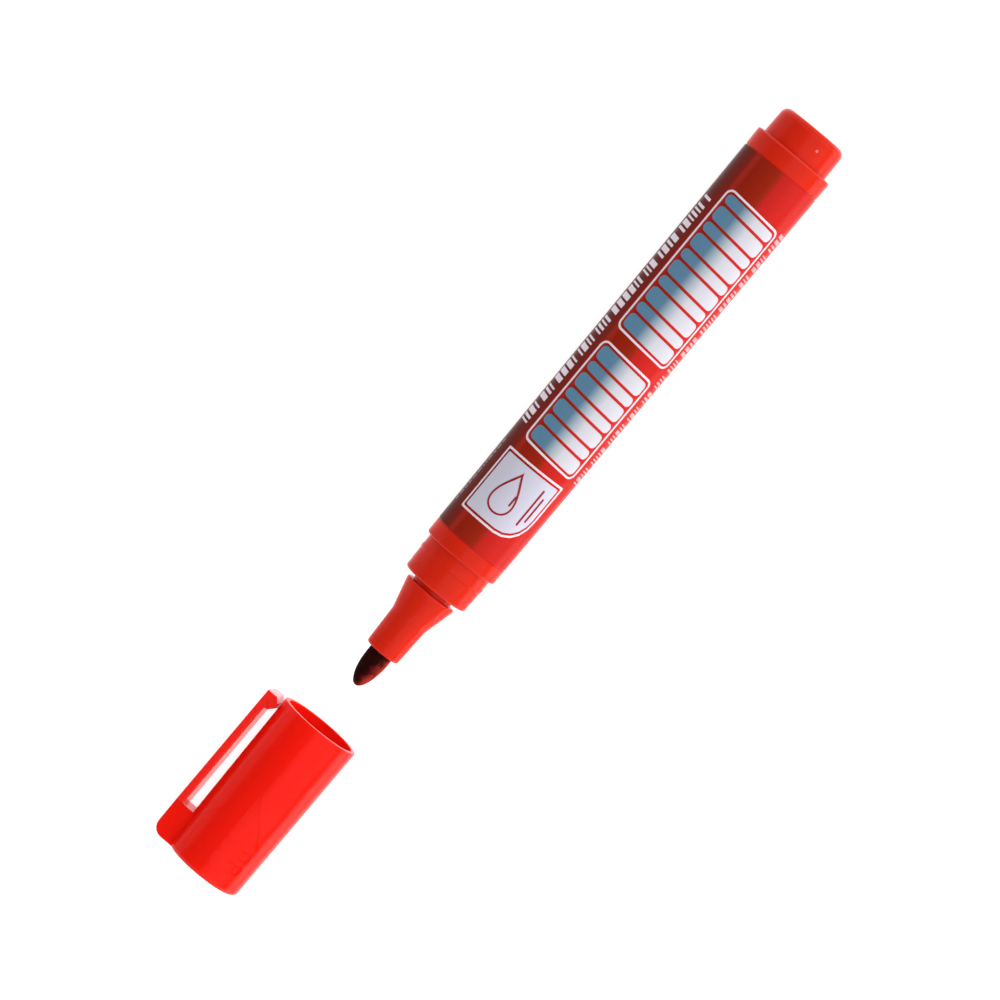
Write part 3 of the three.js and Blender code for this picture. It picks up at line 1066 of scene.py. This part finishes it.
def make_liner():
    """The inner cup that closes round the nose when the cap is on."""
    floor = LINER_END - 1.0
    piece = turned(
        "cap_inner_cup",
        [
            (LINER_START, 6.15, 0.25),
            (LINER_START, 7.15, 0.25),
            (LINER_END, 6.95, 0.5),
            (LINER_END, 0),
            (floor, 0),
            (floor, 4.9, 0.6),
            (LINER_START + 1.6, 5.85, 0.3),
        ],
    )
    dress(piece, LINER_PLASTIC, "liner", "liner_plastic", "cap_liner")


# -------- printed artwork

INK_PITCH = 0.3  # ink is cut this finely round the barrel
INK_SUNK = 0.02  # how far the underside of the ink lies in the band
LINE = 0.45  # width of the printed outlines


def ink_bmesh(shapes):
    """Flat ink shapes in (along, across), cut finely enough to follow the barrel.

    along runs back from the barrel's shoulder and across round it from the artwork's middle.
    A shape is a list of outlines: the outer one, then its holes.
    """
    bm = bmesh.new()
    for loops in shapes:
        edges = []
        for points in loops:
            verts = [bm.verts.new((point[0], point[1], 0)) for point in points]
            for index, vert in enumerate(verts):
                edges.append(bm.edges.new((vert, verts[(index + 1) % len(verts)])))
        bmesh.ops.triangle_fill(bm, edges=edges, use_beauty=True, use_dissolve=False)
    low = min(vert.co.y for vert in bm.verts)
    high = max(vert.co.y for vert in bm.verts)
    cuts = int((high - low) / INK_PITCH)
    for step in range(1, cuts + 1):
        cut_across(bm, low + step * INK_PITCH, Vector((0, 1, 0)))
    return bm


def print_on_barrel(name, shapes, material, lift=INK_LIFT, middle=ART_ANGLE):
    """Wraps flat ink shapes round the barrel as one thin film."""
    bm = ink_bmesh(shapes)
    bottom = {}
    faces = list(bm.faces)
    boundary = [edge for edge in bm.edges if len(edge.link_faces) == 1]

    def wrapped(along, across, height):
        x = BARREL_SHOULDER - along
        return around(x, film_radius(x) + height, middle + across / film_radius(x))

    for vert in list(bm.verts):
        flat = vert.co.copy()
        bottom[vert] = bm.verts.new(wrapped(flat.x, flat.y, -INK_SUNK))
        vert.co = wrapped(flat.x, flat.y, lift)
    for face in faces:
        bm.faces.new([bottom[vert] for vert in reversed(face.verts)])
    for edge in boundary:
        first, second = edge.verts
        if edge.link_loops[0].vert != first:
            first, second = second, first
        bm.faces.new([second, first, bottom[first], bottom[second]])
    bmesh.ops.recalc_face_normals(bm, faces=bm.faces)
    dress(finish_mesh(name, bm), material, "pen", "printed_film")


def box_outline(low, high, bottom, top, rounding, lean=0.0):
    """A rounded box from low to high along and bottom to top across, leaning if asked."""
    corners = [
        (low + lean, bottom, rounding),
        (high + lean, bottom, rounding),
        (high - lean, top, rounding),
        (low - lean, top, rounding),
    ]
    return outline(corners)


def frame_shape(low, high, bottom, top, rounding, lean):
    """A rounded line frame."""
    outer = box_outline(low, high, bottom, top, rounding, lean)
    inner = box_outline(
        low + LINE, high - LINE, bottom + LINE, top - LINE, max(rounding - LINE, 0.1), lean
    )
    return [outer, inner]


def bar_row(low, high, bottom, top, widths, gap, lean):
    """Slanted bars side by side whose widths share the room in the given proportions."""
    room = high - low - 2 * lean - gap * (len(widths) - 1)
    unit = room / sum(widths)
    shapes = []
    place = low + lean
    for width in widths:
        size = width * unit
        rounding = min(0.45 * size, 1.0)
        shapes.append([box_outline(place, place + size, bottom, top, rounding, lean)])
        place += size + gap
    return shapes


def dash_row(low, high, middle, height, lengths, gap, seed):
    """A row of short dashes with lengths drawn from a seeded choice."""
    rounding, lean = 0.15, 0.05
    draw = random.Random(seed)
    bottom, top = middle - height / 2, middle + height / 2
    shapes = []
    place = low
    while place < high:
        size = draw.choice(lengths)
        size = min(size, high - place)
        if size > height * 0.6:
            shapes.append([box_outline(place, place + size, bottom, top, rounding, lean)])
        place += size + gap
    return shapes


def drop_outline(along, across, size):
    """An ink drop whose point looks back along the pen."""
    steps, fullness = 48, 0.78
    points = []
    for step in range(steps):
        angle = 2 * math.pi * step / steps
        taper = math.sin(angle / 2) ** 1.5
        points.append((
            along + size * math.cos(angle),
            across + fullness * size * math.sin(angle) * taper,
        ))
    return points


def stroke_row(low, high, middle, height, widths, gap, seed):
    """Groups of three to six short upright strokes in a row."""
    rounding, lean, group_gap = 0.12, 0.12, 0.8
    draw = random.Random(seed)
    bottom, top = middle - height / 2, middle + height / 2
    shapes = []
    place = low
    left_in_group = draw.randint(3, 6)
    while place < high - 0.6:
        width = draw.choice(widths)
        width = min(width, high - place)
        shapes.append([box_outline(place, place + width, bottom, top, rounding, lean)])
        place += width + gap
        left_in_group -= 1
        if not left_in_group:
            place += group_gap
            left_in_group = draw.randint(3, 6)
    return shapes


def panel_shape(inset, rounding):
    """The panel's outline moved in by inset, with one deep rounded corner towards the nose."""
    low, high = 8.4 + inset, 23.3 - inset
    bottom, top = -7.3 + inset, 7.8 - inset
    corner = 0.3
    return outline([
        (low, bottom, corner),
        (high, bottom, corner),
        (high, top, corner),
        (low, top, rounding),
    ])


def make_panel():
    """A pale panel with a line round it, and on it an ink drop and three strokes."""
    line = [panel_shape(0, 6.2), panel_shape(LINE, 5.8)]
    print_on_barrel("print_panel_line", [line], INK_LINE)
    print_on_barrel("print_panel", [[panel_shape(2 * LINE, 5.4)]], INK_PANEL)
    over = INK_LIFT + 0.02
    drop_across = -0.9
    drop = [drop_outline(16.2, drop_across, 4.9), drop_outline(15.9, drop_across, 4.2)]
    print_on_barrel("print_drop", [drop], INK_DARK, lift=over)
    strokes = [
        [box_outline(12.2, 20.8, 4.2, 4.65, 0.2, 0.1)],
        [box_outline(13.6, 19.4, 5.3, 5.75, 0.2, 0.1)],
        [box_outline(14.2, 16.6, 0.6, 1.0, 0.18, 0.0)],
    ]
    print_on_barrel("print_strokes_panel", strokes, INK_DARK, lift=over)


def make_stroke_block(name, low, high, top, count):
    """A framed group of slanted strokes, broad and narrow in turn."""
    bottom, inset, gap, lean, rounding = -6.05, 0.95, 0.6, 0.55, 1.6
    frame_line = frame_shape(low + lean, high - lean, bottom, top, rounding, lean)
    print_on_barrel(f"print_frame_{name}", [frame_line], INK_LINE)
    widths = [2 if index % 2 else 3 for index in range(count)]
    strokes = bar_row(low + inset, high - inset, bottom + inset, top - inset, widths, gap, lean)
    print_on_barrel(f"print_strokes_{name}", strokes, INK_FADE)


def make_stroke_rows():
    """The two rows of upright strokes on either side of the framed groups."""
    upper = stroke_row(28.5, 84.4, -9.5, 3.3, (0.42, 0.42, 0.6, 1.2), gap=0.5, seed=3)
    print_on_barrel("print_row_upper", upper, INK_LINE)
    lower = stroke_row(25.2, 87.8, 10.5, 2.3, (0.32, 0.32, 0.5, 0.9), gap=0.42, seed=7)
    print_on_barrel("print_row_lower", lower, INK_SOFT)


def make_small_rows():
    """Two rows of small dashes beside the panel."""
    rows = dash_row(8.5, 23.5, -10.4, 0.55, (0.5, 0.8, 1.2), gap=0.35, seed=11)
    rows += dash_row(8.5, 21.0, -11.5, 0.55, (0.5, 0.8, 1.2), gap=0.35, seed=12)
    print_on_barrel("print_row_small", rows, INK_SMALL)


def make_back_rows():
    """Five rows of dashes on the side that the camera doesn't see."""
    row_pitch, middle_row, first_seed = 1.7, 2, 20
    middle = ART_ANGLE + math.radians(155)
    rows = []
    for index, end in enumerate((78.0, 82.0, 74.0, 80.0, 66.0)):
        across = row_pitch * (index - middle_row)
        lengths = (0.8, 1.4, 2.2, 3.0)
        rows += dash_row(30.0, end, across, 0.6, lengths, gap=0.5, seed=first_seed + index)
    print_on_barrel("print_rows_back", rows, INK_SMALL, middle=middle)


def make_artwork():
    """A panel, two framed groups of slanted strokes, and rows of small strokes."""
    make_panel()
    make_stroke_block("front", 25.1, 50.9, 8.1, 7)
    make_stroke_block("rear", 52.8, 88.2, 8.5, 10)
    make_stroke_rows()
    make_small_rows()
    make_back_rows()


make_end_plug()
make_gate_mark()
make_barrel()
make_label_film()
make_nose_cone()
make_nib()
make_ink_rod()
make_ink_rod_film()
make_cap()
make_clip()
make_liner()
make_artwork()

# -------- floor, light and camera

FLOOR_HEIGHT = -(BARREL_REAR_RADIUS + 0.02) * MM
SCENE_MIDDLE = 0.09  # metres along the pen


def make_floor():
    """A grey sheet under the pen that glows, so that it renders nearly white."""
    half_size = 3.0
    bm = bmesh.new()
    bmesh.ops.create_grid(bm, x_segments=2, y_segments=2, size=half_size)
    floor = add_mesh("studio_floor", bm)
    floor.location = (SCENE_MIDDLE, 0, FLOOR_HEIGHT)
    made = Material("studio_paper")
    fibre = made.grain(0.8, detail=4.0)
    made.set(
        Base_Color=made.mix(fibre, (0.35, 0.35, 0.35), (0.37, 0.37, 0.37)),
        Roughness=0.9,
        Specular_IOR_Level=0.1,
        Emission_Color=(1.0, 1.0, 1.0, 1),
        Emission_Strength=0.92,
    )
    floor.data.materials.append(made.material)


def area_light(name, place, target, size, power, spread=180):
    """A soft box of (width, height) metres at place, turned to target."""
    data = bpy.data.lights.new(name, "AREA")
    data.shape = "RECTANGLE"
    data.size, data.size_y = size
    data.energy = power
    data.spread = math.radians(spread)
    light = add_object(name, data)
    light.location = place
    aim = Vector(target) - Vector(place)
    light.rotation_euler = aim.to_track_quat("-Z", "Y").to_euler()


def make_light():
    """A dim white sky, a large key overhead, and low lights for the rims."""
    world = bpy.data.worlds.new("studio")
    world.use_nodes = True
    background = world.node_tree.nodes["Background"]
    background.inputs["Color"].default_value = (1.0, 1.0, 1.0, 1)
    background.inputs["Strength"].default_value = 0.27
    bpy.context.scene.world = world
    middle = (SCENE_MIDDLE, 0.0, 0.0)
    area_light("key", (0.05, 0.32, 0.98), middle, size=(2.2, 1.6), power=18.8)
    area_light("rim", (0.09, 0.60, 0.08), middle, size=(1.0, 0.20), power=2.0)
    area_light("rear", (-0.65, 0.05, 0.18), middle, size=(0.5, 0.3), power=0.8)
    below_bounce = (0.10, 0.34, 0.0)
    area_light("bounce", (0.10, 0.34, 0.16), below_bounce, size=(1.0, 0.3), power=5.5, spread=70)


def make_camera():
    """The camera looks down on the pen, which runs from upper right to lower left."""
    distance, lens, sensor = 0.965, 180.3, 36
    lean = math.radians(-4.38)
    pen_slope = math.radians(50.3)
    aim = Vector((BARREL_SHOULDER - 13.5, -1.3, 0.0)) * MM
    back = Vector((
        math.sin(lean),
        -math.cos(lean) * math.cos(CAMERA_ELEVATION),
        math.cos(lean) * math.sin(CAMERA_ELEVATION),
    ))
    pen = (ALONG - back * ALONG.dot(back)).normalized()
    side = back.cross(pen)
    right = -math.cos(pen_slope) * pen + math.sin(pen_slope) * side
    up = -math.sin(pen_slope) * pen - math.cos(pen_slope) * side
    data = bpy.data.cameras.new("camera")
    data.sensor_width = sensor
    data.lens = lens
    camera = add_object("camera", data)
    turn = Matrix((right, up, back)).transposed().to_4x4()
    camera.matrix_world = Matrix.Translation(aim + back * distance) @ turn
    bpy.context.scene.camera = camera


make_floor()
make_light()
make_camera()
bpy.context.scene.view_settings.view_transform = "Standard"
